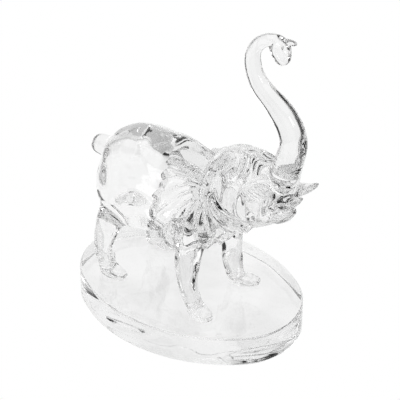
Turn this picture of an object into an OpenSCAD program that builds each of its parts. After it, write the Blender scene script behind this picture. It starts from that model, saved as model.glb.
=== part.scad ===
// Clear glass elephant with a raised trunk, standing on a thick oval glass plinth.
// Every gather of glass is its own closed solid, cut where it is fused to its neighbour,
// so the pieces meet face to face. The head points along -Y, the tail along +Y, and +Z is
// up. The origin is the middle of the plinth's underside. Lengths are in millimetres.

/* [Plinth] */
// Length of the oval plinth, front to back
plinth_length = 116; // [108:1:130]
// Width of the oval plinth, side to side
plinth_width = 83; // [76:1:96]
// Thickness of the plinth
plinth_height = 16; // [12:1:22]
// Width of the plinth's bevelled edges
plinth_edge = 1; // [0.5:0.1:2]
// Thickness of the clear adhesive under each foot
bond_height = 0.1; // [0.1:0.05:0.3]

/* [Body] */
// Half the width of the body
body_half_width = 20; // [18:0.5:22]
// Half the length of the body
body_half_length = 36; // [34:0.5:38]
// Half the height of the body
body_half_height = 26; // [24:0.5:28]
// How much fuller the rump is than the chest
rump_swell = 0.3; // [0.1:0.05:0.35]
// Distance from the middle of the plinth back to the tip of the tail
tail_reach = 54; // [52:0.5:56]

/* [Head] */
// Half the width of the head
head_half_width = 16.5; // [15:0.5:18]
// Half the length of the head
head_half_length = 24; // [22:0.5:26]
// Half the height of the head
head_half_height = 20; // [18:0.5:22]
// Radius of each eye bead
eye_radius = 3.4; // [2.8:0.1:4]
// Radius of a tusk at its root
tusk_root_radius = 6.2; // [5.4:0.1:6.6]
// Radius of a tusk near its tip
tusk_tip_radius = 2.6; // [1.8:0.1:3]

/* [Trunk] */
// Thickness of the trunk as a share of its drawn size
trunk_girth = 1; // [0.9:0.02:1.1]
// Half the height of the flared mouth at the trunk's tip
mouth_radius = 7; // [6:0.1:7.4]

/* [Ears] */
// Reach of an ear from its root to its upper rim
ear_reach = 25; // [22:0.5:27]
// How much further an ear reaches at its lobe, over the elbow
ear_lobe = 17; // [10:0.5:18]
// Thickness of an ear at its middle
ear_thickness = 4.6; // [4:0.1:5.5]
// Number of flutes in each ear
ear_flutes = 10; // [8:1:13]
// Height of the flutes
flute_relief = 1.3; // [0.8:0.1:1.6]
// How far the left ear is set round below the right one, in degrees
left_ear_drop = 34; // [0:1:38]

/* [Legs] */
// Thickness of the legs as a share of their drawn size
leg_girth = 1; // [0.9:0.02:1.1]
// How far the legs bow outward between hip and ankle
leg_bow = 6; // [3:0.5:8]
// Length of a foot pad
foot_length = 16; // [14:0.5:18]
// Width of a foot pad
foot_width = 9.6; // [9:0.2:11]
// Height of a foot pad, where its leg begins
foot_height = 4; // [3.5:0.1:4.5]

/* [Hidden] */

glass = [0.86, 0.9, 0.92, 0.55];
adhesive = [0.9, 0.9, 0.8, 0.5];
right = -1;
left = 1;
x_axis = [1, 0, 0];

// The plinth's four arcs: radii, and how far their middles lie from the plinth's middle.
end_radius = 0.57 * plinth_length / 2;
end_middle = plinth_length / 2 - end_radius;
side_radius = (pow(plinth_width / 2, 2) + pow(end_middle, 2) - pow(end_radius, 2))
    / (plinth_width - 2 * end_radius);
side_middle = side_radius - plinth_width / 2;

// The figure stands on its adhesive, a little to the right of the plinth's middle.
figure_place = [-1, 0, plinth_height + bond_height];

// From here on, heights are above the soles of the feet.
body_middle = [0, 10, 53.4];
body_rise = -0.13;
body_blunt = 0.6;
head_middle = [0, -35, 67.2];
head_rise = -0.11;
head_swell = 0.22;
head_blunt = 0.9;

// Centreline of the trunk: distance along Y, height and radius, from the root to the tip.
trunk_line = [
    [-46, 68, 8.8], [-49.6, 74.5, 8.4], [-53, 85, 7.1], [-55.6, 95, 6.5], [-56.2, 101.5, 6.1],
    [-53.8, 108.8, 5.9], [-48.8, 115.2, 5.6], [-43.6, 120, 4.9], [-38.5, 124.8, 4.4],
    [-35.1, 130.8, 3.9], [-34, 137, 3.6], [-34.8, 141.8, 3.3], [-37.2, 145.8, 3.1],
    [-40.2, 148.4, 3.1], [-43.4, 149.6, 3.3]
];

trunk_rows = smooth([for (row = trunk_line) [row[0], row[1], row[2] * trunk_girth]], 42);

// The bell at the trunk's tip, from its neck out to its rim and back into its mouth: distance
// along Y, height, half width, half height, and how far the ring leans back in degrees.
bell_line = [
    [-44.7, 148.6, 3.6, 4.5, 2],
    [-46.2, 147.2, 4, mouth_radius - 1, 0],
    [-47.9, 146, 4.4, mouth_radius, -3],
    [-49.9, 145.8, 4.3, mouth_radius, -6],
    [-51.5, 146.1, 3.7, mouth_radius - 0.9, -8],
    [-51.9, 146.7, 2.9, mouth_radius - 2.2, -10],
    [-50.7, 146.9, 2.2, mouth_radius - 3.6, -10],
    [-49.3, 147, 1.2, 1.8, -8]
];
finger_middle = [0, -53.2, 151.6];
finger_half = [1.5, 3.5, 1.4];

// Centreline of the jaw, from its root to its lip.
jaw_line = [[-45, 58.5, 6], [-50, 59.4, 5.2], [-54.5, 61.5, 3.8], [-57.6, 63.4, 1.5]];

// Centreline of the tail, from its tip to its root.
tail_line = [
    [tail_reach, 61.4, 2.4], [tail_reach - 2, 61.3, 4.4], [tail_reach - 7, 60.8, 5.2], [40, 59, 5.8]
];

// An ear's root: distance along Y, height, and distance out from the middle.
ear_root = [-23.5, 72.4];
ear_out = 15.2;
// The fan's upper edge and sweep, and how far its flutes curl downward, in degrees from
// straight back. The lobe stands away from the body by lobe_flare.
ear_start = -44;
ear_sweep = 158;
ear_curl = 28;
lobe_flare = 8;
// How deep the ear's inner face lies inside the glass that it drapes over.
ear_bite = 0.6;

// Centreline of a tusk: outward, along Y and height.
tusk_line = [[5.4, -50, 68], [6.2, -58, 71.1], [7, -65.1, 75.3]];
eye_place = [12.4, -44.6, 75.4];

// Each leg: its side, its ankle [outward, along Y], its hip [outward, along Y, height], its
// radius at ankle and hip, and how far its toe turns outward in degrees.
front_right = [right, [18.5, -15], [10.5, -12.5, 47], [4.5, 8.4], 20];
front_left = [left, [12, -19], [8.5, -12, 47], [4.5, 8.4], 20];
rear_right = [right, [15, 37.8], [12.5, 32, 42], [4.2, 8.4], 8];
rear_left = [left, [14.9, 30], [9.5, 31, 37], [4.2, 7.4], 8];
leg_places = [front_right, front_left, rear_right, rear_left];
hip_flare = 1.7;
heel_setback = 0.27;
sole_share = 0.86;

// ---- Curves and skins -------------------------------------------------------------------

// A point on the smooth curve through the rows of p, at s from 0 to the last row's index.
function along(p, s) =
    let (
        last = len(p) - 1,
        i = min(floor(s), last - 1),
        t = s - i,
        b = p[i],
        c = p[i + 1],
        a = i > 0 ? p[i - 1] : 2 * b - c,
        d = i + 2 <= last ? p[i + 2] : 2 * c - b
    )
    0.5 * (2 * b + (c - a) * t + (2 * a - 5 * b + 4 * c - d) * pow(t, 2)
        + (3 * b - a - 3 * c + d) * pow(t, 3));

// The curve through p as steps + 1 evenly spaced rows.
function smooth(p, steps) = [for (k = [0 : steps]) along(p, k * (len(p) - 1) / steps)];

function unit(v) = v / norm(v);

// A closed ring round middle, with half-axes u and v.
function ring(middle, u, v, sides) =
    [for (j = [0 : sides - 1]) middle + cos(360 * j / sides) * u + sin(360 * j / sides) * v];

function centroid(points) = [for (axis = [0 : 2]) [for (p = points) p[axis]] * [for (p = points) 1]]
    / len(points);

// The closed skin over a stack of equal rings that run counter-clockwise round its travel.
module skin(rings) {
    sides = len(rings[0]);
    last = len(rings) - 1;
    points = concat([for (r = rings) each r], [centroid(rings[0]), centroid(rings[last])]);
    bottom = len(points) - 2;
    top = len(points) - 1;
    walls = [
        for (i = [0 : last - 1], j = [0 : sides - 1])
            let (
                k = (j + 1) % sides,
                a = i * sides + j,
                b = i * sides + k,
                c = a + sides,
                d = b + sides
            )
            each [[a, c, d], [a, d, b]]
    ];
    caps = [
        for (j = [0 : sides - 1])
            let (k = (j + 1) % sides)
            each [[bottom, j, k], [top, last * sides + k, last * sides + j]]
    ];
    polyhedron(points = points, faces = concat(walls, caps));
}

// The closed skin between two equal grids of points, front and back.
module slab(front, back) {
    rows = len(front);
    columns = len(front[0]);
    offset_back = rows * columns;
    points = concat([for (r = front) each r], [for (r = back) each r]);
    sheets = [
        for (i = [0 : rows - 2], j = [0 : columns - 2])
            let (a = i * columns + j, b = a + 1, c = a + columns, d = c + 1)
            each [
                [a, b, d], [a, d, c],
                [a + offset_back, d + offset_back, b + offset_back],
                [a + offset_back, c + offset_back, d + offset_back]
            ]
    ];
    border = concat(
        [for (j = [0 : columns - 1]) j],
        [for (i = [1 : rows - 1]) i * columns + columns - 1],
        [for (j = [columns - 2 : -1 : 0]) (rows - 1) * columns + j],
        [for (i = [rows - 2 : -1 : 1]) i * columns]
    );
    edges = [
        for (k = [0 : len(border) - 1])
            let (a = border[k], b = border[(k + 1) % len(border)])
            each [[a, a + offset_back, b + offset_back], [a, b + offset_back, b]]
    ];
    polyhedron(points = points, faces = concat(sheets, edges));
}

// An egg along Y from back to front. swell makes the back fuller, rise tilts its axis and
// blunt below 1 flattens its ends.
module egg(middle, half, rise, swell, blunt, sides, steps) {
    skin([
        for (k = [0 : steps])
            let (
                turn = 4 + 172 * k / steps,
                y = half[1] * cos(turn),
                size = pow(sin(turn), blunt) * (1 + swell * cos(turn))
            )
            ring(middle + [0, y, rise * y], [half[0] * size, 0, 0], [0, 0, half[2] * size], sides)
    ]);
}

// The ring across a rod at one of its rows of distance along Y, height and radius.
function rod_ring(rows, k, x, sides) =
    let (
        before = rows[max(k - 1, 0)],
        after = rows[min(k + 1, len(rows) - 1)],
        travel = unit([0, after[0] - before[0], after[1] - before[1]]),
        r = rows[k][2]
    )
    ring([x, rows[k][0], rows[k][1]], r * x_axis, r * cross(travel, x_axis), sides);

// A round rod through rows, in the plane at x.
module rod(rows, x, sides) skin([for (k = [0 : len(rows) - 1]) rod_ring(rows, k, x, sides)]);

// Joins a cut piece into one skin. Zeros leave every size as it is.
module one_skin() resize([0, 0, 0]) children();

module placed() translate(figure_place) children();

// ---- Whole forms, before they are cut where they are fused ---------------------------------

module body_form() {
    egg(
        body_middle, [body_half_width, body_half_length, body_half_height],
        body_rise, rump_swell, body_blunt, 36, 22
    );
}

module head_form() {
    egg(
        head_middle, [head_half_width, head_half_length, head_half_height],
        head_rise, head_swell, head_blunt, 34, 21
    );
}

// Half the width of an egg at a place along Y and a height, or 0 outside it.
function egg_out(middle, half, rise, swell, blunt, y, z) =
    let (
        share = (y - middle[1]) / half[1],
        size = abs(share) < 1 ? pow(1 - share * share, blunt / 2) * (1 + swell * share) : 0,
        high = size > 0 ? (z - middle[2] - rise * (y - middle[1])) / (half[2] * size) : 1
    )
    abs(high) < 1 ? half[0] * size * sqrt(1 - high * high) : 0;

// The row at share h of a leg's height, from 0 at its ankle to 1 at its hip: place and radius.
function leg_row(place, h) =
    let (
        side = place[0],
        ankle = place[1],
        hip = place[2],
        bow = sin(180 * h)
    )
    [
        side * (ankle[0] + (hip[0] - ankle[0]) * h + leg_bow * bow),
        ankle[1] + (hip[1] - ankle[1]) * pow(h, 0.6) + 0.2 * leg_bow * bow,
        foot_height + (hip[2] - foot_height) * h,
        leg_girth * (place[3][0] + (place[3][1] - place[3][0]) * pow(h, hip_flare))
    ];

module leg_form(place) {
    steps = 15;
    skin([
        for (k = [0 : steps])
            let (row = leg_row(place, k / steps), r = row[3])
            ring([row[0], row[1], row[2]], [r, 0, 0], [0, r, 0], 24)
    ]);
}

// A smooth hump of height 1 at x = middle.
function hump(x, middle, spread) = exp(-pow((x - middle) / spread, 2));

// A point on an ear: a fan of flutes from its root on the head, back over the body and down.
// reach runs from 0 at the root to 1 at the rim, fan from 0 at the upper edge to 1 at the
// front edge, and face is 1 outside and -1 inside. The ear drapes over the body and head.
function ear_point(side, reach, fan, face) =
    let (
        drop = side == left ? left_ear_drop : 0,
        direction = ear_start + ear_sweep * fan + ear_curl * reach,
        flare = lobe_flare * hump(direction, 75, 40) - 1,
        crest = abs(cos(180 * ear_flutes * fan)),
        rim = (ear_reach + ear_lobe * hump(direction, 56, 30)) * (1 + 0.03 * crest),
        y = ear_root[0] + rim * reach * cos(direction + drop),
        z = ear_root[1] - rim * reach * sin(direction + drop),
        flute = flute_relief * sin(180 * pow(reach, 0.9)) * (2 * crest - 1),
        thick = ear_thickness * (1 - 0.5 * pow(reach, 4)),
        drape = thick / 2 - ear_bite,
        on_body = drape + egg_out(
            body_middle, [body_half_width, body_half_length, body_half_height],
            body_rise, rump_swell, body_blunt, y, z
        ),
        on_head = drape + egg_out(
            head_middle, [head_half_width, head_half_length, head_half_height],
            head_rise, head_swell, head_blunt, y, z
        ),
        middle = max(ear_out + flare * reach, on_body, on_head),
        out = middle + face * thick / 2 + (face > 0 ? flute : 0)
    )
    [side * out, y, z];

module ear_form(side) {
    rows = 10;
    columns = 6 * ear_flutes;
    reaches = [for (i = [0 : rows]) 0.08 + 0.92 * i / rows];
    outer = [for (r = reaches) [for (j = [0 : columns]) ear_point(side, r, j / columns, 1)]];
    inner = [for (r = reaches) [for (j = [0 : columns]) ear_point(side, r, j / columns, -1)]];
    if (side == right) {
        slab(outer, inner);
    } else {
        slab(inner, outer);
    }
}

// ---- Nodes ---------------------------------------------------------------------------------

// An oval of four arcs that run smoothly into one another: two tight ends, two flat sides.
module plinth() {
    color(glass) union() {
        intersection() {
            translate([-side_middle, 0, 0]) slice(side_radius);
            translate([side_middle, 0, 0]) slice(side_radius);
            linear_extrude(plinth_height)
                polygon(concat(parting(1), parting(-1)));
        }
        for (way = [-1, 1])
            intersection() {
                translate([0, way * end_middle, 0]) slice(end_radius);
                linear_extrude(plinth_height)
                    polygon(parting(way));
            }
    }
}

// The two straight lines from an end arc's middle, out through the points where arcs meet.
function parting(way) =
    let (reach = 0.6 * plinth_length, high = end_middle + reach * end_middle / side_middle)
    [[-way * reach, way * high], [0, way * end_middle], [way * reach, way * high]];

// A round slab with bevelled edges.
module slice(radius) {
    inner = radius - plinth_edge;
    rotate_extrude($fn = 180)
        polygon([
            [0, 0], [inner, 0], [radius, plinth_edge],
            [radius, plinth_height - plinth_edge], [inner, plinth_height], [0, plinth_height]
        ]);
}

module body() {
    color(glass) placed() body_form();
}

module head() {
    color(glass) placed() one_skin() difference() {
        head_form();
        body_form();
    }
}

module jaw() {
    color(glass) placed() one_skin() difference() {
        rod(smooth(jaw_line, 10), 0, 18);
        head_form();
    }
}

module trunk() {
    color(glass) placed() one_skin() difference() {
        rod(trunk_rows, 0, 24);
        head_form();
    }
}

// The flared end of the trunk: a bell that opens forward, hollowed, with a finger on top.
module trunk_tip() {
    color(glass) placed() one_skin() {
        skin(concat(
            [rod_ring(trunk_rows, len(trunk_rows) - 1, 0, 24)],
            [
                for (row = bell_line)
                    let (lean = row[4], v = row[3] * [0, -sin(lean), cos(lean)])
                    ring([0, row[0], row[1]], [row[2], 0, 0], v, 24)
            ]
        ));
        egg(finger_middle, finger_half, -0.05, 0.1, 0.8, 16, 10);
    }
}

module ear(side) {
    color(glass) placed() one_skin() difference() {
        ear_form(side);
        body_form();
        head_form();
        leg_form(side == right ? front_right : front_left);
    }
}

module tusk(side) {
    steps = 8;
    color(glass) placed() one_skin() difference() {
        skin([
            for (k = [0 : steps])
                let (
                    row = along(tusk_line, 2 * k / steps),
                    taper = tusk_root_radius + (tusk_tip_radius - tusk_root_radius) * k / steps,
                    r = k == steps ? 0.55 * taper : taper
                )
                ring([side * row[0], row[1], row[2]], [r, 0, 0], r * [0, -0.45, 0.89], 16)
        ]);
        head_form();
    }
}

module eye(side) {
    color(glass) placed() one_skin() difference() {
        egg(
            [side * eye_place[0], eye_place[1], eye_place[2]],
            eye_radius * [0.7, 1.15, 1], 0, 0, 0.95, 16, 10
        );
        head_form();
    }
}

module tail() {
    color(glass) placed() one_skin() difference() {
        rod(smooth(tail_line, 9), 0, 22);
        body_form();
    }
}

module leg(place) {
    color(glass) placed() one_skin() difference() {
        leg_form(place);
        body_form();
    }
}

// A flat outline of a foot at a height, scaled by grow. The ankle stands over its heel half.
function sole_ring(place, grow, height) =
    let (
        side = place[0],
        splay = place[4],
        forward = [side * sin(splay), -cos(splay), 0],
        across = [cos(splay), side * sin(splay), 0],
        middle = [side * place[1][0], place[1][1], height] + heel_setback * foot_length * forward
    )
    ring(middle, grow * foot_width / 2 * across, -grow * foot_length / 2 * forward, 24);

// A pressed pad whose upper face is its leg's lower face.
module foot(place) {
    ankle = leg_row(place, 0);
    r = ankle[3];
    color(glass) placed() skin([
        sole_ring(place, sole_share, 0),
        sole_ring(place, 1, 0.28 * foot_height),
        sole_ring(place, 0.92, 0.62 * foot_height),
        ring([ankle[0], ankle[1], foot_height], [r, 0, 0], [0, r, 0], 24)
    ]);
}

// Clear adhesive films under the four feet.
module foot_bonds() {
    color(adhesive)
        translate([figure_place[0], 0, plinth_height])
            for (place = leg_places)
                linear_extrude(bond_height)
                    polygon([for (p = sole_ring(place, sole_share, 0)) [p[0], p[1]]]);
}

plinth();
foot_bonds();
body();
head();
jaw();
trunk();
trunk_tip();
ear(right);  // ear_right
ear(left);  // ear_left
tusk(right);  // tusk_right
tusk(left);  // tusk_left
eye(right);  // eye_right
eye(left);  // eye_left
tail();
leg(front_right);  // leg_front_right
leg(front_left);  // leg_front_left
leg(rear_right);  // leg_rear_right
leg(rear_left);  // leg_rear_left
foot(front_right);  // foot_front_right
foot(front_left);  // foot_front_left
foot(rear_right);  // foot_rear_right
foot(rear_left);  // foot_rear_left
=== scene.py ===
"""Clear glass elephant on an oval glass plinth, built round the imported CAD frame.

All shapes are worked out in millimetres and turned into metres when a piece is made. The
elephant is modelled as one fused lump of glass, smoothed as fire-polished glass is, and then
parted into its gathers, near where the CAD parts it. The parting faces are optically clear.
"""

import math
from collections import namedtuple

import bmesh
import bpy
import numpy as np
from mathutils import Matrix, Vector


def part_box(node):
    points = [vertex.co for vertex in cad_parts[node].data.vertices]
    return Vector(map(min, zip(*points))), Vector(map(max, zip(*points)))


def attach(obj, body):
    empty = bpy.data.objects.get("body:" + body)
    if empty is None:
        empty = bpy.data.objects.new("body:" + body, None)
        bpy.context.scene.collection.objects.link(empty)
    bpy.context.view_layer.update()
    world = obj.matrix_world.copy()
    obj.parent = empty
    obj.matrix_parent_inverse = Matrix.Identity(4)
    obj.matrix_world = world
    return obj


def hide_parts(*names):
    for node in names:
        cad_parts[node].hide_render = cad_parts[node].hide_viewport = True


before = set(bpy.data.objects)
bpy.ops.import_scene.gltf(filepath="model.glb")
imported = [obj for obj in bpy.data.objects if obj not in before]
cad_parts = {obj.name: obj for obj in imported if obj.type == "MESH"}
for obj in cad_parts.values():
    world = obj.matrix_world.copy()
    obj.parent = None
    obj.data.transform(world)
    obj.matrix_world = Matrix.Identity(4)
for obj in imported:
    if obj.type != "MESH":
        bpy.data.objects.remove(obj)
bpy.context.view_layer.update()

MM = 0.001
VOXEL = 0.42
# Which way along X each side of the elephant lies.
RIGHT, LEFT = -1, 1
SIDES = {"right": RIGHT, "left": LEFT}


def box_mm(node):
    """A node's lowest and highest corners in millimetres."""
    low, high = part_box(node)
    return np.array(low) / MM, np.array(high) / MM


# ---- The design's own sizes. Heights of the figure are above its soles. ----------------------

PLINTH_LOW, PLINTH_HIGH = box_mm("plinth")
DECK = PLINTH_HIGH[2]
BODY_LOW, BODY_HIGH = box_mm("body")
SOLES = box_mm("foot_front_right")[0][2]
PLINTH_MIDDLE = (PLINTH_LOW[1] + PLINTH_HIGH[1]) / 2
PLINTH_HALF = (PLINTH_HIGH[1] - PLINTH_LOW[1]) / 2
# Where the figure's own origin stands in the CAD frame.
PLACE = np.array([(BODY_LOW[0] + BODY_HIGH[0]) / 2, 0, SOLES])

# Eggs: middle, half sizes, slope of the middle line, swell toward the back, bluntness of the ends.
BODY = {"middle": (0, 10, 53.4), "half": (20, 36, 26), "rise": -0.13, "swell": 0.3, "blunt": 0.6}
HEAD = {"middle": (0, -35, 67.2), "half": (16.5, 24, 20), "rise": -0.11, "swell": 0.22, "blunt": 0.9}

# Rows along a rod: distance along Y, height and radius.
TRUNK = [
    (-46, 68, 8.8), (-49.6, 74.5, 8.4), (-53, 85, 7.1), (-55.6, 95, 6.5), (-56.2, 101.5, 6.1),
    (-53.8, 108.8, 5.9), (-48.8, 115.2, 5.6), (-43.6, 120, 4.9), (-38.5, 124.8, 4.4),
    (-35.1, 130.8, 3.9), (-34, 137, 3.6), (-34.8, 141.8, 3.3), (-37.2, 145.8, 3.1),
    (-40.2, 148.4, 3.1), (-43.4, 149.6, 3.3),
]
JAW = [(-45, 58.5, 6), (-50, 59.4, 5.2), (-54.5, 61.5, 3.8), (-57.6, 63.4, 1.5)]
TAIL = [(54, 61.4, 2.4), (52, 61.3, 4.4), (47, 60.8, 5.2), (40, 59, 5.8)]
# Rings of the bell: along Y, height, half width, half height, lean back in degrees.
BELL = [
    (-44.7, 148.6, 3.6, 4.5, 2), (-46.2, 147.2, 4, 6, 0), (-47.9, 146, 4.4, 7.1, -3),
    (-49.9, 145.8, 4.3, 7, -6), (-51.5, 146.1, 3.7, 6.1, -8), (-51.9, 146.7, 2.9, 4.8, -10),
    (-50.7, 146.9, 2.2, 3.4, -10), (-49.3, 147, 1.2, 1.8, -8),
]
FINGER = {"middle": (0, -53.2, 151.6), "half": (1.5, 3.5, 1.4), "rise": -0.05, "swell": 0.1, "blunt": 0.8}
# The tusk's line (outward, along Y, height), its radii at root and tip, where its tip begins to
# round off, and which way its rings lean.
TUSK = [(5.4, -50, 68), (6.2, -58, 71.1), (7, -65.1, 75.3)]
TUSK_RADII = (6.2, 2.6)
TUSK_TIP = 0.84
TUSK_LEAN = (-0.45, 0.89)
EYE_PLACE = (12.4, -44.6, 75.4)
EYE_HALF = (2.4, 3.6, 2.2)
EYE_TILT = 0.15
# Half the length and height of the almond carved round each eye.
ALMOND_HALF = (4.6, 2.8)
ALMOND_SWELL, EYE_GROOVE, BROW_SWELL = 1.4, 1.7, 0.9

# Each leg: its ankle (outward, along Y), hip (outward, along Y, height), radii at both and how
# far its toes are splayed in degrees.
Leg = namedtuple("Leg", "side ankle hip radii splay")
LEGS = {
    "front_right": Leg(RIGHT, (18.5, -15), (10.5, -12.5, 47), (4.5, 8.4), 20),
    "front_left": Leg(LEFT, (12, -19), (8.5, -12, 47), (4.5, 8.4), 20),
    "rear_right": Leg(RIGHT, (15, 37.8), (12.5, 32, 42), (4.2, 8.4), 8),
    "rear_left": Leg(LEFT, (14.9, 30), (9.5, 31, 37), (4.2, 7.4), 8),
}
LEG_BOW = 6
HIP_FLARE = 1.7
SHIN_CREASE = 1.5
FOOT_LENGTH, FOOT_WIDTH, FOOT_HEIGHT = 16, 9.6, 4
HEEL_SETBACK = 0.27
SOLE_SHARE = 0.86
TOES = 4

# The plinth's outline has ends whose radius is a share of half its length.
END_SHARE = 0.57
PLINTH_EDGE = 1.0
BOND_DEPTH = 0.05
RIPPLE_MIDDLE, RIPPLE_SWING = 0.3, 0.13

# The ear fans out from its root (along Y, height). Directions are in degrees below the way back.
EAR_ROOT = (-23.5, 72.4)
EAR_OUT = 15.2
EAR_START, EAR_SWEEP, EAR_CURL = -44, 158, 28
EAR_REACH, EAR_LOBE, EAR_THICKNESS = 25, 17, 4.6
EAR_FLUTES, FLUTE_RELIEF, LOBE_FLARE, EAR_BITE = 10, 2.4, 8, 0.6
EAR_DROP = {RIGHT: 0, LEFT: 34}
# In which direction the lobe reaches furthest and flares most, and how wide each is.
LOBE_PEAK, LOBE_WIDTH = 56, 30
FLARE_PEAK, FLARE_WIDTH = 75, 40
# A groove along the rim: its depth, and its place and width as shares of the reach.
RIM_GROOVE, GROOVE_PLACE, GROOVE_WIDTH = 1.1, 0.89, 0.035

# How far each parting cell is grown past its form, which takes in the tallest tool marks.
CELL_GROWTH = {"body": 1.2, "head": 1.8, "leg": 1.5, "tusk": 0.8, "eye": 2, "jaw": 1.5}

# The camera: what it looks at, from which azimuth and elevation, how far off, and its lens.
CAMERA_AIM = (-8.3, -10.9, 71.9)
CAMERA_AZIMUTH, CAMERA_ELEVATION, CAMERA_DISTANCE = -57, 35.1, 1100
CAMERA_LENS, CAMERA_SENSOR = 212.6, 36
LIGHT_BOUNCES = 48
VIEW_GAMMA = 0.8

# Half the side of the table and its middle.
TABLE_HALF = 130
TABLE_MIDDLE = (50, 30, 0)
# Soft boxes and flags round the table, each laid over those before it: azimuth, elevation,
# radius of its even middle and of its faded edge in degrees, and light. The rest is dark.
STUDIO = [
    (-80, -10, 42, 50, 0.6),
    (0, 90, 50, 54, 0.95),
    (-130, -10, 30, 34, 0.9),
    (123, -35, 48, 56, 1.0),
    (123, 38, 20, 30, 1.0),
    (-57, 35, 12, 14, 0.0),
    (-105, -5, 9, 11, 0.0),
    (-100, 25, 9, 12, 2.6),
    (-15, 25, 9, 12, 2.6),
    (60, 15, 9, 12, 2.0),
]


# ---- Points and skins ------------------------------------------------------------------------

def hump(x, middle, spread):
    """1 at middle, fading smoothly to 0 over about twice the spread."""
    return np.exp(-(((x - middle) / spread) ** 2))


def rise(values, low, high):
    """0 below low, 1 above high and smooth between."""
    t = np.clip((values - low) / (high - low), 0, 1)
    return t * t * (3 - 2 * t)


def along(rows, places):
    """Points on the smooth curve through rows, at places from 0 to the last row's number."""
    p = np.array(rows, float)
    p = np.vstack([2 * p[0] - p[1], p, 2 * p[-1] - p[-2]])
    places = np.asarray(places, float)
    i = np.minimum(places.astype(int), len(rows) - 2)
    t = (places - i)[:, None]
    a, b, c, d = p[i], p[i + 1], p[i + 2], p[i + 3]
    return 0.5 * (2 * b + (c - a) * t + (2 * a - 5 * b + 4 * c - d) * t**2 + (3 * b - a - 3 * c + d) * t**3)


def ring(middle, u, v, sides):
    """A closed ring round middle, with half-axes u and v."""
    turn = np.linspace(0, 2 * np.pi, sides, endpoint=False)[:, None]
    return np.array(middle) + np.cos(turn) * np.array(u) + np.sin(turn) * np.array(v)


def skin(rings):
    """The closed skin over equal rings that run counter-clockwise round its travel."""
    count, sides = len(rings), len(rings[0])
    points = np.vstack(rings)
    faces = []
    for i in range(count - 1):
        for j in range(sides):
            k = (j + 1) % sides
            faces.append((i * sides + j, i * sides + k, (i + 1) * sides + k, (i + 1) * sides + j))
    faces.append(tuple(range(sides - 1, -1, -1)))
    faces.append(tuple((count - 1) * sides + j for j in range(sides)))
    return points, faces


def egg(form, grow=0, sides=120, steps=90):
    """An egg along Y from back to front, grown outward by grow."""
    half = np.array(form["half"])
    rings = []
    for turn in np.radians(np.linspace(0.4, 179.6, steps)):
        y = (half[1] + grow) * math.cos(turn)
        size = math.sin(turn) ** form["blunt"] * (1 + form["swell"] * math.cos(turn))
        middle = np.array(form["middle"]) + (0, y, form["rise"] * y)
        across = size * half + grow * math.sin(turn)
        rings.append(ring(middle, (across[0], 0, 0), (0, 0, across[2]), sides))
    return skin(rings)


def rod_rings(rows, grow, sides, steps):
    """Rings across a rod in the plane X = 0."""
    path = along(rows, np.linspace(0, len(rows) - 1, steps))
    ahead = np.gradient(path[:, :2], axis=0)
    ahead /= np.linalg.norm(ahead, axis=1)[:, None]
    rings = []
    for (y, z, r), (ty, tz) in zip(path, ahead):
        r += grow
        rings.append(ring((0, y, z), (r, 0, 0), (0, r * tz, -r * ty), sides))
    return rings


def rod(rows, grow=0, sides=64, steps=90):
    """A round rod along rows, grown outward by grow."""
    return skin(rod_rings(rows, grow, sides, steps))


def bell_rings():
    """Rings out along the trunk's flared end and back into its mouth."""
    rings = []
    for y, z, wide, high, lean in along(BELL, np.linspace(0, len(BELL) - 1, 40)):
        lean = math.radians(lean)
        upward = (0, -high * math.sin(lean), high * math.cos(lean))
        rings.append(ring((0, y, z), (wide, 0, 0), upward, 64))
    return rings


def trunk_with_bell():
    """The trunk and its hollowed mouth in one skin."""
    return skin(rod_rings(TRUNK, 0, 64, 130) + bell_rings())


def tusk(side, grow=0):
    """A tapered point with a rounded tip. A grown one also runs on past the tip."""
    rings = []
    for h in np.linspace(0, 1 + 0.06 * grow, 30):
        x, y, z = along(TUSK, [2 * h])[0]
        taper = TUSK_RADII[0] + (TUSK_RADII[1] - TUSK_RADII[0]) * h
        tip = min(1, max(0, (h - TUSK_TIP) / (1 - TUSK_TIP)))
        r = taper * math.sqrt(1 - 0.86 * tip**2) + grow
        upward = (0, TUSK_LEAN[0] * r, TUSK_LEAN[1] * r)
        rings.append(ring((side * x, y, z), (r, 0, 0), upward, 40))
    return skin(rings)


def eye(side, grow=0):
    """The bead of an eye, half sunk in the head."""
    form = {
        "middle": (side * EYE_PLACE[0], EYE_PLACE[1], EYE_PLACE[2]),
        "half": np.array(EYE_HALF) + grow, "rise": 0, "swell": 0, "blunt": 0.95,
    }
    return egg(form, 0, 48, 32)


def leg_row(leg, h):
    """Place and radius of a leg at share h of its height, from 0 at the ankle to 1 at the hip."""
    ankle, hip, radii = leg.ankle, leg.hip, leg.radii
    bow = np.sin(np.pi * h)
    x = leg.side * (ankle[0] + (hip[0] - ankle[0]) * h + LEG_BOW * bow)
    y = ankle[1] + (hip[1] - ankle[1]) * h**0.6 + 0.2 * LEG_BOW * bow
    z = FOOT_HEIGHT + (hip[2] - FOOT_HEIGHT) * h
    return (x, y, z), radii[0] + (radii[1] - radii[0]) * h**HIP_FLARE


def sole_ring(leg, share, height, notch=0, sides=144):
    """The outline of a foot at a height, scaled by share, with notches between the toes."""
    side = leg.side
    turn = math.radians(leg.splay)
    forward = np.array([side * math.sin(turn), -math.cos(turn), 0])
    across = np.array([math.cos(turn), side * math.sin(turn), 0])
    ankle = np.array([side * leg.ankle[0], leg.ankle[1], height])
    middle = ankle + HEEL_SETBACK * FOOT_LENGTH * forward
    outline = ring(middle, share * FOOT_WIDTH / 2 * across, -share * FOOT_LENGTH / 2 * forward, sides)
    place = np.linspace(0, 2 * np.pi, sides, endpoint=False)
    front = np.clip(-np.sin(place), 0, 1) ** 2
    between = (1 - np.abs(np.sin(TOES * place))) ** 1.5
    return middle + (outline - middle) * (1 - notch * front * between)[:, None]


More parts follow.
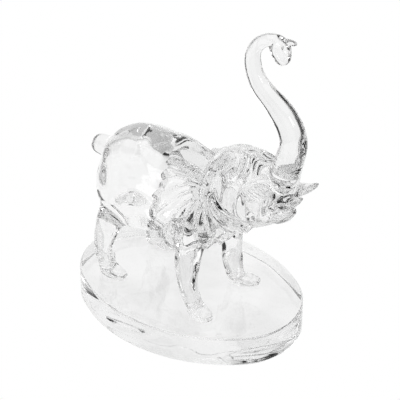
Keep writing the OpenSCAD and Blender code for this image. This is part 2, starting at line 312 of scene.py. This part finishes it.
def leg_with_foot(leg):
    """A leg and its pressed pad. The pad runs below its sole, where it is cut off flat later."""
    # The pad's levels: share of its full outline, share of its height, depth of the toe notches.
    levels = [
        (SOLE_SHARE, -2, 0), (SOLE_SHARE, 0, 0.03), (0.97, 0.12, 0.07), (1, 0.3, 0.1),
        (0.99, 0.45, 0.1), (0.92, 0.62, 0.08),
    ]
    rings = [sole_ring(leg, share, high * FOOT_HEIGHT, notch) for share, high, notch in levels]
    for h in np.linspace(0, 1, 70):
        middle, r = leg_row(leg, h)
        rings.append(ring(middle, (r, 0, 0), (0, r, 0), 144))
    return skin(rings)


def leg_only(leg, grow):
    """A cell round a leg without its pad, run on a little past the hip."""
    rings = []
    for h in np.linspace(0, 1.03, 50):
        middle, r = leg_row(leg, h)
        rings.append(ring(middle, (r + grow, 0, 0), (0, r + grow, 0), 64))
    return skin(rings)


def egg_out(form, y, z):
    """Half the width of an egg at places along Y and heights, or 0 outside it."""
    share = (y - form["middle"][1]) / form["half"][1]
    size = np.clip(1 - share**2, 0, None) ** (form["blunt"] / 2) * (1 + form["swell"] * share)
    high = z - form["middle"][2] - form["rise"] * (y - form["middle"][1])
    high = high / np.maximum(form["half"][2] * size, 1e-6)
    return form["half"][0] * size * np.sqrt(np.clip(1 - high**2, 0, None))


def ear(side):
    """A fan of flutes that drapes over the body and the head."""
    reach, fan = np.meshgrid(np.linspace(0.08, 1, 90), np.linspace(0, 1, 420), indexing="ij")
    direction = EAR_START + EAR_SWEEP * fan + EAR_CURL * reach
    turn = np.radians(direction + EAR_DROP[side])
    wave = np.abs(np.cos(np.pi * EAR_FLUTES * fan))
    crest = 0.85 * np.minimum(1, 2.4 * wave) ** 0.8 + 0.15 * wave
    lobe = EAR_LOBE * hump(direction, LOBE_PEAK, LOBE_WIDTH)
    rim = (EAR_REACH + lobe) * (0.97 + 0.05 * crest)
    rim = rim + 0.7 * np.sin(0.37 * direction) + 0.5 * np.sin(0.61 * direction + 1)
    y = EAR_ROOT[0] + rim * reach * np.cos(turn)
    z = EAR_ROOT[1] - rim * reach * np.sin(turn)
    flute = FLUTE_RELIEF * np.sin(np.pi * reach**0.9) ** 0.7 * (2 * crest - 1.4)
    thick = EAR_THICKNESS * (1 - 0.2 * reach**4)
    flute = flute - RIM_GROOVE * hump(reach, GROOVE_PLACE, GROOVE_WIDTH)
    drape = thick / 2 - EAR_BITE + 2 * hump(reach, 1, 0.16)
    flare = LOBE_FLARE * hump(direction, FLARE_PEAK, FLARE_WIDTH) - 1
    over_both = np.maximum(drape + egg_out(BODY, y, z), drape + egg_out(HEAD, y, z))
    middle = np.maximum(EAR_OUT + flare * reach, over_both)
    outer = np.stack([side * (middle + thick / 2 + flute), y, z], -1)
    inner = np.stack([side * (middle - thick / 2), y, z], -1)
    points = np.vstack([outer.reshape(-1, 3), inner.reshape(-1, 3)])
    return points, sheet_faces(*y.shape)


def sheet_faces(rows, columns):
    """Faces of a closed sheet, whose outer grid of points is followed by its inner one."""
    faces = []
    back = rows * columns
    for i in range(rows - 1):
        for j in range(columns - 1):
            a = i * columns + j
            quad = (a, a + 1, a + columns + 1, a + columns)
            faces.append(quad)
            faces.append(tuple(back + k for k in reversed(quad)))
    border = list(range(columns))
    border += [i * columns + columns - 1 for i in range(1, rows)]
    border += [(rows - 1) * columns + j for j in range(columns - 2, -1, -1)]
    border += [i * columns for i in range(rows - 2, 0, -1)]
    for a, b in zip(border, border[1:] + border[:1]):
        faces.append((b, a, a + back, b + back))
    return faces


# ---- Meshes ----------------------------------------------------------------------------------

def mesh_object(name, parts, material):
    """One object from several closed skins, in millimetres, with faces turned outward."""
    points, faces, start = [], [], 0
    for p, f in parts:
        points.append(p)
        faces += [tuple(start + k for k in face) for face in f]
        start += len(p)
    mesh = bpy.data.meshes.new(name)
    mesh.from_pydata(np.vstack(points).tolist(), [], faces)
    mesh.materials.append(material)
    obj = bpy.data.objects.new(name, mesh)
    bpy.context.collection.objects.link(obj)
    face_outward(mesh)
    return obj


def face_outward(mesh):
    """Turns every face of closed skins outward."""
    b = bmesh.new()
    b.from_mesh(mesh)
    bmesh.ops.recalc_face_normals(b, faces=b.faces)
    b.to_mesh(mesh)
    b.free()


def copied(obj):
    """A copy of an object with a mesh of its own."""
    twin = obj.copy()
    twin.data = obj.data.copy()
    bpy.context.collection.objects.link(twin)
    return twin


def applied(obj):
    """Applies an object's modifiers to its mesh."""
    graph = bpy.context.evaluated_depsgraph_get()
    mesh = bpy.data.meshes.new_from_object(obj.evaluated_get(graph), depsgraph=graph)
    obj.modifiers.clear()
    obj.data = mesh
    return obj


def remove(*objects):
    for obj in objects:
        bpy.data.objects.remove(obj)


def points_of(mesh):
    flat = np.empty(len(mesh.vertices) * 3)
    mesh.vertices.foreach_get("co", flat)
    return flat.reshape(-1, 3)


def normals_of(mesh):
    flat = np.empty(len(mesh.vertices) * 3)
    mesh.vertices.foreach_get("normal", flat)
    return flat.reshape(-1, 3)


def move_points(mesh, points):
    mesh.vertices.foreach_set("co", points.ravel())
    mesh.update()


def shade_smooth(mesh):
    mesh.polygons.foreach_set("use_smooth", [True] * len(mesh.polygons))


def edges_of(mesh):
    flat = np.empty(len(mesh.edges) * 2, int)
    mesh.edges.foreach_get("vertices", flat)
    return flat.reshape(-1, 2)


def neighbours_middle(points, edges):
    """For each point, the middle of the points that its edges lead to."""
    count = len(points)
    valence = np.bincount(edges.ravel(), minlength=count)[:, None]
    total = np.empty_like(points)
    for axis in range(3):
        total[:, axis] = np.bincount(edges[:, 0], points[edges[:, 1], axis], count)
        total[:, axis] += np.bincount(edges[:, 1], points[edges[:, 0], axis], count)
    return total / valence


def smoothed(points, edges, passes):
    """Smooths points along their edges without shrinking, by steps in and out."""
    for step in [0.55, -0.57] * passes:
        points = points + step * (neighbours_middle(points, edges) - points)
    return points


def softened(points, edges, amount, passes):
    """Melts the skin smooth where amount is 1 and leaves it where amount is 0."""
    for _ in range(passes):
        points = points + 0.5 * amount[:, None] * (neighbours_middle(points, edges) - points)
    return points


def cut(solid, cell, operation):
    """A copy of a solid's part inside a cell, or outside it. Cut faces take the cell's material."""
    piece = copied(solid)
    knife = piece.modifiers.new("cut", "BOOLEAN")
    knife.operation = operation
    knife.object = cell
    knife.solver = "MANIFOLD"
    knife.material_mode = "TRANSFER"
    return applied(piece)


def part(solid, parts):
    """Parts a solid by closed cells into what lies inside them and the rest."""
    cell = mesh_object("cell", parts, SEAM)
    inside = cut(solid, cell, "INTERSECT")
    rest = cut(solid, cell, "DIFFERENCE")
    remove(cell, solid)
    return inside, rest


def block(low, high):
    """A closed box between two corners."""
    (a, b, c), (d, e, f) = low, high
    points = np.array([(x, y, z) for z in (c, f) for y in (b, e) for x in (a, d)], float)
    faces = [(0, 2, 3, 1), (4, 5, 7, 6), (0, 1, 5, 4), (2, 6, 7, 3), (0, 4, 6, 2), (1, 3, 7, 5)]
    return points, faces


# ---- Materials -------------------------------------------------------------------------------

def new_material(name):
    material = bpy.data.materials.new(name)
    material.use_nodes = True
    nodes = material.node_tree.nodes
    nodes.clear()
    return material, nodes, material.node_tree.links


def clouded(nodes, links, size, low, high):
    """A socket with a grey between low and high, in soft clouds of about a size."""
    place = nodes.new("ShaderNodeTexCoord")
    cloud = nodes.new("ShaderNodeTexNoise")
    cloud.inputs["Scale"].default_value = 1 / size
    cloud.inputs["Detail"].default_value = 3
    cloud.inputs["Distortion"].default_value = 0.6
    tone = nodes.new("ShaderNodeMapRange")
    tone.inputs["From Min"].default_value = 0.35
    tone.inputs["From Max"].default_value = 0.65
    tone.inputs["To Min"].default_value = low
    tone.inputs["To Max"].default_value = high
    links.new(place.outputs["Object"], cloud.inputs["Vector"])
    links.new(cloud.outputs["Fac"], tone.inputs["Value"])
    return tone.outputs[0]


def glass_material(name, tones, cloud_size, wave_size, wave_height):
    """Clear polished glass with the faint waves that hand work leaves in it, and faint grey clouds in its
    colour. The plinth's darker clouds are painted shade, standing in for the refracted shade and
    reflections in its top.
    """
    material, nodes, links = new_material(name)
    out = nodes.new("ShaderNodeOutputMaterial")
    glass = nodes.new("ShaderNodeBsdfPrincipled")
    glass.inputs["Roughness"].default_value = 0.0
    glass.inputs["IOR"].default_value = 1.5
    glass.inputs["Transmission Weight"].default_value = 1.0
    links.new(clouded(nodes, links, cloud_size, *tones), glass.inputs["Base Color"])
    links.new(glass.outputs[0], out.inputs["Surface"])
    place = nodes.new("ShaderNodeTexCoord")
    wave = nodes.new("ShaderNodeTexNoise")
    wave.inputs["Scale"].default_value = 1 / wave_size
    wave.inputs["Detail"].default_value = 2
    bump = nodes.new("ShaderNodeBump")
    bump.inputs["Strength"].default_value = 1.0
    bump.inputs["Distance"].default_value = wave_height
    links.new(place.outputs["Object"], wave.inputs["Vector"])
    links.new(wave.outputs["Fac"], bump.inputs["Height"])
    links.new(bump.outputs["Normal"], glass.inputs["Normal"])
    return material


def seam_material():
    """Where two gathers are fused, light passes straight on."""
    material, nodes, links = new_material("fused_seam")
    out = nodes.new("ShaderNodeOutputMaterial")
    clear = nodes.new("ShaderNodeBsdfTransparent")
    links.new(clear.outputs[0], out.inputs["Surface"])
    return material


def adhesive_material():
    """A clear film as thick as a hair, with faint clouds where it was spread."""
    material, nodes, links = new_material("clear_adhesive")
    out = nodes.new("ShaderNodeOutputMaterial")
    film = nodes.new("ShaderNodeBsdfTransparent")
    links.new(clouded(nodes, links, 2 * MM, 0.94, 1.0), film.inputs["Color"])
    links.new(film.outputs[0], out.inputs["Surface"])
    return material


FIGURE_GLASS = glass_material("figure_glass_polished", (0.93, 0.97), 22 * MM, 9 * MM, 0.05 * MM)
# The plinth's darker grey clouds are painted shade, in place of the refracted shade and reflections in its
# top.
PLINTH_GLASS = glass_material("plinth_glass_polished", (0.84, 0.94), 26 * MM, 14 * MM, 0.05 * MM)
SEAM = seam_material()
ADHESIVE = adhesive_material()


# ---- Hand working ----------------------------------------------------------------------------

def waves(points, sizes, seed, count=16):
    """Smooth unevenness of about -1 to 1, whose bumps lie about sizes apart along X, Y and Z."""
    draw = np.random.default_rng(seed)
    total = np.zeros(len(points))
    for _ in range(count):
        way = draw.normal(size=3)
        way *= draw.uniform(0.6, 1.3) / np.linalg.norm(way) / np.array(sizes)
        total += np.sin(2 * np.pi * points @ way + draw.uniform(0, 2 * np.pi))
    return total / math.sqrt(count)


def creases(points, sizes, seed):
    """Rounded folds with sharper valleys between them, from about -0.7 to 0.5."""
    return 0.5 - 1.2 * (1 - np.minimum(1, np.abs(waves(points, sizes, seed)) * 1.2)) ** 2


def on_egg(form, points, spread):
    """1 on an egg's skin, fading to 0 further off."""
    x, y, z = points.T
    share = np.clip((y - form["middle"][1]) / form["half"][1], -1, 1)
    size = np.clip(1 - share**2, 1e-4, None) ** (form["blunt"] / 2) * (1 + form["swell"] * share)
    high = z - form["middle"][2] - form["rise"] * (y - form["middle"][1])
    out = np.hypot(x / (form["half"][0] * size), high / (form["half"][2] * size))
    return hump(out, 1, spread)


def eye_carving(points):
    """Each almond eye, with the groove round it and the brow above it."""
    x, y, z = points.T
    half_length, half_height = ALMOND_HALF
    u = (y - EYE_PLACE[1]) / half_length
    level = z - EYE_PLACE[2] + EYE_TILT * (y - EYE_PLACE[1])
    v = level / (half_height * (1 - 0.35 * u * u).clip(0.3))
    out = np.hypot(u, v)
    almond = 1 - rise(out, 0.8, 1.04)
    groove = hump(out, 1.22, 0.17)
    brow = hump(v, 2, 0.4) * hump(u, 0.1, 1)
    sides = rise(np.abs(x), 5, 8)
    return sides * (BROW_SWELL * brow + ALMOND_SWELL * almond - EYE_GROOVE * groove)


def shin_creases(points):
    """The crease pinched down the front of each leg, toward its outer side."""
    x, y, z = points.T
    total = np.zeros(len(points))
    for leg in LEGS.values():
        share = np.clip((z - FOOT_HEIGHT) / (leg.hip[2] - FOOT_HEIGHT), 0, 1)
        (middle_x, middle_y, _), _ = leg_row(leg, share)
        outward, ahead = leg.side * (x - middle_x), middle_y - y
        turn = np.arctan2(outward, ahead)
        near = 1 - rise(np.hypot(outward, ahead), 9, 12)
        total += near * hump(turn, 0.4 + 0.12 * np.sin(z / 2.3), 0.22)
    return total * rise(z, 5, 9) * (1 - rise(z, 26, 34))


def tool_marks(points):
    """How far the gaffer's tools and the heat moved each point of the skin outward."""
    _, y, z = points.T
    # Where each kind of mark lies, from 0 to 1. The skin is calm round the eyes.
    neck = rise(-y, 12, 18) * rise(z, 48, 54)
    head = on_egg(HEAD, points, 0.16) * neck
    snout = rise(-y, 48, 51) * (1 - rise(z, 76, 82)) * rise(z, 50, 55)
    eyes = hump(np.hypot((y - EYE_PLACE[1]) / 11, (z - EYE_PLACE[2] + 3) / 10), 0, 1)
    face = rise(-y, 34, 37) * rise(z, 64, 68) * (1 - rise(z, 84, 88))
    body = on_egg(BODY, points, 0.3) * (1 - rise(-y, 8, 20))
    calm = 1 - 0.95 * eyes
    legs = 1 - rise(z, 24, 36)
    below_tip = 1 - rise(z, 138, 146)
    trunk = rise(z, 84, 94) * below_tip
    # Each row starts with the height of its marks in millimetres.
    marks = 0.06 * below_tip * waves(points, (16, 16, 16), 1)
    marks += 0.35 * body * waves(points, (13, 15, 13), 2)
    marks += 0.22 * head * (1 - snout) * calm * creases(points, (20, 11, 22), 5)
    marks += 0.1 * snout * calm * creases(points, (12, 12, 12), 8)
    marks += 0.4 * legs * rise(z, 5, 9) * waves(points, (7, 7, 22), 6)
    marks += 0.14 * trunk * waves(points, (11, 14, 18), 7)
    marks -= SHIN_CREASE * shin_creases(points)
    return marks + eye_carving(points) * face


# ---- The fused figure ------------------------------------------------------------------------

def hip_region(points):
    """1 where the hind legs melt into the body, fading to 0 round it."""
    _, y, z = points.T
    return rise(y, 12, 20) * rise(z, 20, 26) * (1 - rise(z, 42, 50)) * (1 - rise(y, 42, 50))


def fused_figure():
    """The whole elephant as one lump of glass, in millimetres above its soles."""
    forms = [egg(BODY), egg(HEAD), trunk_with_bell(), egg(FINGER, 0, 48, 32), rod(JAW), rod(TAIL)]
    forms += [tusk(side) for side in SIDES.values()]
    forms += [eye(side) for side in SIDES.values()]
    forms += [ear(side) for side in SIDES.values()]
    forms += [leg_with_foot(leg) for leg in LEGS.values()]
    lump = mesh_object("lump", forms, FIGURE_GLASS)
    remesh = lump.modifiers.new("fuse", "REMESH")
    remesh.mode = "VOXEL"
    remesh.voxel_size = VOXEL
    applied(lump)
    mesh = lump.data
    points = smoothed(points_of(mesh), edges_of(mesh), 4)
    points = softened(points, edges_of(mesh), hip_region(points), 120)
    move_points(mesh, points)
    move_points(mesh, points + tool_marks(points)[:, None] * normals_of(mesh))
    mesh.materials.clear()
    mesh.materials.append(FIGURE_GLASS)
    shade_smooth(mesh)
    return lump


def gathers(lump):
    """Parts the fused figure into its named gathers. Blocks reach well past what they part off."""
    rest, below_soles = part(lump, [block((-60, -90, 0), (60, 90, 170))])
    remove(below_soles)
    pieces = {}
    feet, rest = part(rest, [block((-65, -95, -5), (60, 90, FOOT_HEIGHT))])
    for name, leg in LEGS.items():
        x, y = leg.side * leg.ankle[0], leg.ankle[1]
        pieces["foot_" + name], feet = part(feet, [block((x - 14, y - 18, -5), (x + 14, y + 14, 9))])
    remove(feet)
    pieces["body"], rest = part(rest, [egg(BODY, CELL_GROWTH["body"])])
    pieces["head"], rest = part(rest, [egg(HEAD, CELL_GROWTH["head"])])
    for name, leg in LEGS.items():
        pieces["leg_" + name], rest = part(rest, [leg_only(leg, CELL_GROWTH["leg"])])
    for word, side in SIDES.items():
        pieces["tusk_" + word], rest = part(rest, [tusk(side, CELL_GROWTH["tusk"])])
        pieces["eye_" + word], rest = part(rest, [eye(side, CELL_GROWTH["eye"])])
    pieces["jaw"], rest = part(rest, [rod(JAW, CELL_GROWTH["jaw"])])
    mouth_y, mouth_z, _ = TRUNK[-1]
    pieces["trunk_tip"], rest = part(rest, [block((-15, -90, mouth_z - 20), (15, mouth_y, 170))])
    pieces["trunk"], rest = part(rest, [block((-15, -90, 74), (15, -28, 170))])
    pieces["tail"], rest = part(rest, [block((-20, 40, 40), (20, 90, 80))])
    pieces["ear_right"], rest = part(rest, [block((-60, -70, 10), (0, 60, 120))])
    pieces["ear_left"], rest = part(rest, [block((0, -70, 10), (60, 60, 120))])
    remove(rest)
    return pieces


def ride(piece, node):
    """Puts a piece on the frame in a node's place, and stops it from shading the table."""
    piece.visible_shadow = False
    piece.visible_diffuse = False
    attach(piece, "root")
    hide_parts(node)


def make_figure():
    """Makes the gathers, each with the whole figure's normals, so that no seam shows."""
    lump = fused_figure()
    whole = copied(lump)
    for node, piece in gathers(lump).items():
        shade = piece.modifiers.new("shade", "DATA_TRANSFER")
        shade.object = whole
        shade.use_loop_data = True
        shade.data_types_loops = {"CUSTOM_NORMAL"}
        shade.loop_mapping = "POLYINTERP_NEAREST"
        applied(piece)
        piece.name = "gather_" + node
        piece.data.name = piece.name
        move_points(piece.data, (points_of(piece.data) + PLACE) * MM)
        ride(piece, node)
    remove(whole)


# ---- The plinth ------------------------------------------------------------------------------

def oval(inset, sides=360):
    """The plinth's outline, of four arcs that run smoothly into one another, moved inward."""
    length, width = (PLINTH_HIGH - PLINTH_LOW)[1], (PLINTH_HIGH - PLINTH_LOW)[0]
    end_radius = END_SHARE * length / 2
    end_middle = length / 2 - end_radius
    side_radius = ((width / 2) ** 2 + end_middle**2 - end_radius**2) / (width - 2 * end_radius)
    side_middle = side_radius - width / 2
    meet = math.atan2(end_middle, side_middle)
    points = []
    for turn in np.linspace(0, 2 * np.pi, sides, endpoint=False):
        lean = math.atan2(math.sin(turn), math.cos(turn))
        near_end = min(abs(lean), math.pi - abs(lean)) > meet
        if near_end:
            middle, radius = (0, math.copysign(end_middle, lean)), end_radius
        else:
            middle, radius = (-math.copysign(side_middle, math.cos(turn)), 0), side_radius
        reach = radius - inset
        points.append((middle[0] + reach * math.cos(turn), middle[1] + reach * math.sin(turn)))
    return np.array(points)


def plinth_ripples(points):
    """How far the poured top sinks below its highest level, away from the edge and the feet."""
    x, y, z = points.T
    inside = np.hypot(x / PLINTH_HIGH[0], (y - PLINTH_MIDDLE) / PLINTH_HALF)
    amount = rise(z, DECK - 0.01, DECK - 0.005) * (1 - rise(inside, 0.86, 0.96))
    for leg in LEGS.values():
        foot = sole_ring(leg, 1, 0).mean(axis=0) + PLACE
        amount *= rise(np.hypot(x - foot[0], y - foot[1]), 9, 13)
    return amount * (RIPPLE_MIDDLE + RIPPLE_SWING * waves(points, (13, 13, 13), 9))


def oval_ring(inset, share, high):
    """A ring of the plinth, moved inward, then scaled by share, at a height."""
    outline = oval(inset) * share
    return np.c_[outline + (0, PLINTH_MIDDLE), np.full(len(outline), high)]


def plinth_rings():
    """Rings from the middle of the underside out, up the side and in to the middle of the top."""
    shares = np.linspace(0.02, 1, 50)[:-1]
    rounds = [(1 - math.sin(turn), 1 - math.cos(turn)) for turn in np.radians(np.linspace(0, 90, 7))]
    sides = np.linspace(PLINTH_EDGE, DECK - PLINTH_EDGE, 18)[1:-1]
    rings = [oval_ring(PLINTH_EDGE, share, 0) for share in shares]
    rings += [oval_ring(PLINTH_EDGE * inset, 1, PLINTH_EDGE * high) for inset, high in rounds]
    rings += [oval_ring(0, 1, high) for high in sides]
    rings += [oval_ring(PLINTH_EDGE * inset, 1, DECK - PLINTH_EDGE * high) for inset, high in rounds[::-1]]
    rings += [oval_ring(PLINTH_EDGE, share, DECK) for share in shares[::-1]]
    return rings


def make_plinth():
    """Makes the oval block, with a shallow seat cut for the bond under each sole."""
    points, faces = skin(plinth_rings())
    points[:, 2] -= plinth_ripples(points)
    slab = mesh_object("plinth_slab", [(points, faces)], PLINTH_GLASS)
    soles = []
    for leg in LEGS.values():
        low = sole_ring(leg, SOLE_SHARE, 0) + PLACE
        low[:, 2] = DECK - BOND_DEPTH
        high = low + (0, 0, 2)
        soles.append(skin([low, high]))
    cell = mesh_object("soles", soles, SEAM)
    piece = cut(slab, cell, "DIFFERENCE")
    remove(cell, slab)
    piece.name = "plinth_block"
    move_points(piece.data, points_of(piece.data) * MM)
    shade_smooth(piece.data)
    piece.data.set_sharp_from_angle(angle=math.radians(35))
    ride(piece, "plinth")


def dress_bonds():
    """Gives the carried-over adhesive films their material."""
    for slot in bpy.data.objects["foot_bonds"].material_slots:
        slot.material = ADHESIVE


# ---- Studio ----------------------------------------------------------------------------------

def make_floor():
    """A white table, lit evenly from within as a light table is."""
    material, nodes, links = new_material("studio_floor")
    out = nodes.new("ShaderNodeOutputMaterial")
    matt = nodes.new("ShaderNodeBsdfPrincipled")
    matt.inputs["Base Color"].default_value = (0, 0, 0, 1)
    matt.inputs["Specular IOR Level"].default_value = 0
    matt.inputs["Roughness"].default_value = 1
    matt.inputs["Emission Color"].default_value = (1, 1, 1, 1)
    matt.inputs["Emission Strength"].default_value = 1.0
    links.new(matt.outputs[0], out.inputs["Surface"])
    corners = [(-1, -1), (1, -1), (1, 1), (-1, 1)]
    mesh = bpy.data.meshes.new("studio_floor")
    half = TABLE_HALF * MM
    mesh.from_pydata([(half * x, half * y, -0.2 * MM) for x, y in corners], [], [(0, 1, 2, 3)])
    mesh.materials.append(material)
    floor = bpy.data.objects.new("studio_floor", mesh)
    floor.location = Vector(TABLE_MIDDLE) * MM
    bpy.context.collection.objects.link(floor)


def direction(azimuth, elevation):
    """Which way lies an azimuth, from -Y toward +X, and an elevation above the horizon."""
    a, e = math.radians(azimuth), math.radians(elevation)
    return (math.sin(a) * math.cos(e), -math.cos(a) * math.cos(e), math.sin(e))


def make_world():
    """White where the camera sees it, and soft boxes and flags in a dark room round the glass."""
    world = bpy.data.worlds.new("studio")
    bpy.context.scene.world = world
    world.use_nodes = True
    nodes, links = world.node_tree.nodes, world.node_tree.links
    nodes.clear()
    out = nodes.new("ShaderNodeOutputWorld")
    sweep = nodes.new("ShaderNodeBackground")
    sweep.inputs["Color"].default_value = (1, 1, 1, 1)
    studio = nodes.new("ShaderNodeBackground")
    rays = nodes.new("ShaderNodeLightPath")
    choose = nodes.new("ShaderNodeMixShader")
    links.new(rays.outputs["Is Camera Ray"], choose.inputs[0])
    links.new(studio.outputs[0], choose.inputs[1])
    links.new(sweep.outputs[0], choose.inputs[2])
    links.new(choose.outputs[0], out.inputs["Surface"])
    place = nodes.new("ShaderNodeTexCoord")
    light = None
    for azimuth, elevation, inner, outer, level in STUDIO:
        dot = nodes.new("ShaderNodeVectorMath")
        dot.operation = "DOT_PRODUCT"
        dot.inputs[1].default_value = direction(azimuth, elevation)
        links.new(place.outputs["Generated"], dot.inputs[0])
        fade = nodes.new("ShaderNodeMapRange")
        fade.interpolation_type = "SMOOTHSTEP"
        fade.inputs["From Min"].default_value = math.cos(math.radians(outer))
        fade.inputs["From Max"].default_value = math.cos(math.radians(inner))
        links.new(dot.outputs["Value"], fade.inputs["Value"])
        paint = nodes.new("ShaderNodeMix")
        links.new(fade.outputs[0], paint.inputs[0])
        paint.inputs[2].default_value = 0
        paint.inputs[3].default_value = level
        if light is not None:
            links.new(light, paint.inputs[2])
        light = paint.outputs[0]
    links.new(light, studio.inputs["Color"])


def make_camera():
    """Makes the camera and aims it."""
    data = bpy.data.cameras.new("camera")
    data.lens = CAMERA_LENS
    data.sensor_width = CAMERA_SENSOR
    camera = bpy.data.objects.new("camera", data)
    back = Vector(direction(CAMERA_AZIMUTH, CAMERA_ELEVATION))
    camera.location = (Vector(CAMERA_AIM) + back * CAMERA_DISTANCE) * MM
    camera.rotation_euler = back.to_track_quat("Z", "Y").to_euler()
    bpy.context.collection.objects.link(camera)
    bpy.context.scene.camera = camera


def set_light_paths():
    """Lets light pass through all the layers of glass, and sets the tones of the picture."""
    scene = bpy.context.scene
    scene.cycles.max_bounces = LIGHT_BOUNCES
    scene.cycles.transmission_bounces = LIGHT_BOUNCES
    scene.cycles.transparent_max_bounces = LIGHT_BOUNCES
    scene.cycles.glossy_bounces = LIGHT_BOUNCES
    scene.view_settings.view_transform = "Standard"
    scene.view_settings.gamma = VIEW_GAMMA


make_camera()
make_floor()
make_world()
make_plinth()
make_figure()
dress_bonds()
set_light_paths()
